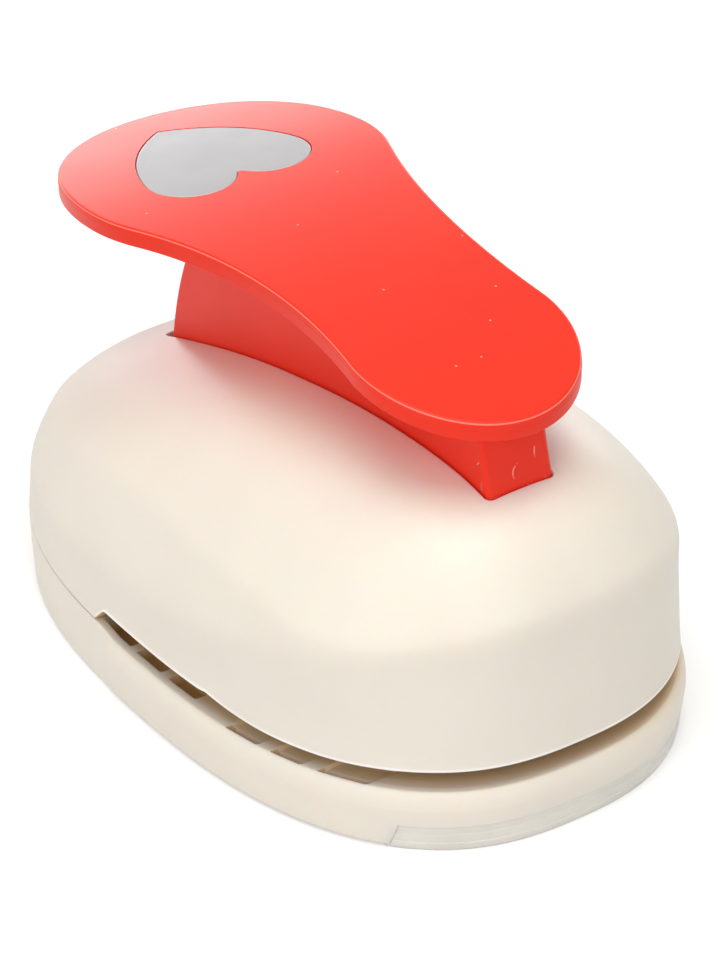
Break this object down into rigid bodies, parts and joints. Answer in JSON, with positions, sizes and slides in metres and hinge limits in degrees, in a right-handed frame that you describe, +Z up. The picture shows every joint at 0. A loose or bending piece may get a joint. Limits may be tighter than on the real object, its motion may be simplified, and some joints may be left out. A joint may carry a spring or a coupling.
{
  "type": "heart craft punch",
  "caption": "Lever craft punch that cuts a heart from paper: domed cover, base with a paper throat, rocking lever, sprung punch and die.",
  "frame": {"origin": "on the floor under the centre of the body", "axes": "+X to the user's right seen from the front, +Y from the paper throat to the back, +Z up"},
  "size_m": [0.1244, 0.1914, 0.1111],
  "materials": {
    "cream": "satin moulded cream plastic with a fine texture",
    "red": "satin moulded red plastic with a fine texture",
    "decal": "light grey printed inlay",
    "grip": "pale translucent soft vinyl",
    "rubber": "dark rubber",
    "steel": "ground steel",
    "screw": "zinc-plated steel",
    "spring": "drawn spring steel",
    "carrier": "off-white structural plastic",
    "nylon": "natural nylon"
  },
  "bodies": {
    "base": {"upper_housing": "cream", "base_tray": "cream", "front_grip": "grip", "rear_foot_left": "rubber", "rear_foot_right": "rubber", "case_screw_side_left": "screw", "case_screw_side_right": "screw", "case_screw_rear_left": "screw", "case_screw_rear_right": "screw", "die_plate": "steel", "guide_plate": "steel", "plate_spacer_left": "steel", "plate_spacer_right": "steel", "die_screw_front_left": "screw", "die_screw_front_right": "screw", "die_screw_rear_left": "screw", "die_screw_rear_right": "screw", "guide_post_front_left": "steel", "guide_post_front_right": "steel", "guide_post_rear_left": "steel", "guide_post_rear_right": "steel", "return_spring_front_left": "spring", "return_spring_front_right": "spring", "return_spring_rear_left": "spring", "return_spring_rear_right": "spring", "hinge_bracket_left": "steel", "hinge_bracket_right": "steel", "bracket_screw_front_left": "screw", "bracket_screw_rear_left": "screw", "bracket_screw_front_right": "screw", "bracket_screw_rear_right": "screw", "hinge_pin": "steel", "hinge_clip_left": "spring", "hinge_clip_right": "spring"},
    "punch": {"punch_blade": "steel", "punch_carrier": "carrier", "wear_plate": "steel", "blade_screw_left": "screw", "blade_screw_right": "screw", "blade_screw_rear": "screw"},
    "lever": {"lever_arm": "red", "heart_decal": "decal", "hinge_bush_left": "nylon", "hinge_bush_right": "nylon", "press_roller": "steel", "roller_pin": "steel"}
  },
  "joints": [
    {"name": "lever_hinge", "type": "hinge", "parent": "base", "child": "lever", "pos_m": [0, -0.04135, 0.03999], "axis": [-1, 0, 0], "range_deg": [0, 12]},
    {"name": "punch_slide", "type": "slide", "parent": "base", "child": "punch", "axis": [0, 0, -1], "range_m": [0, 0.00878], "stiffness_N_per_m": 2000, "springref_m": -0.004, "deforming": ["return_spring_front_left", "return_spring_front_right", "return_spring_rear_left", "return_spring_rear_right"]}
  ],
  "couplings": [
    {"joint": "punch_slide", "follows": "lever_hinge", "m_per_rad": 0.0419}
  ]
}
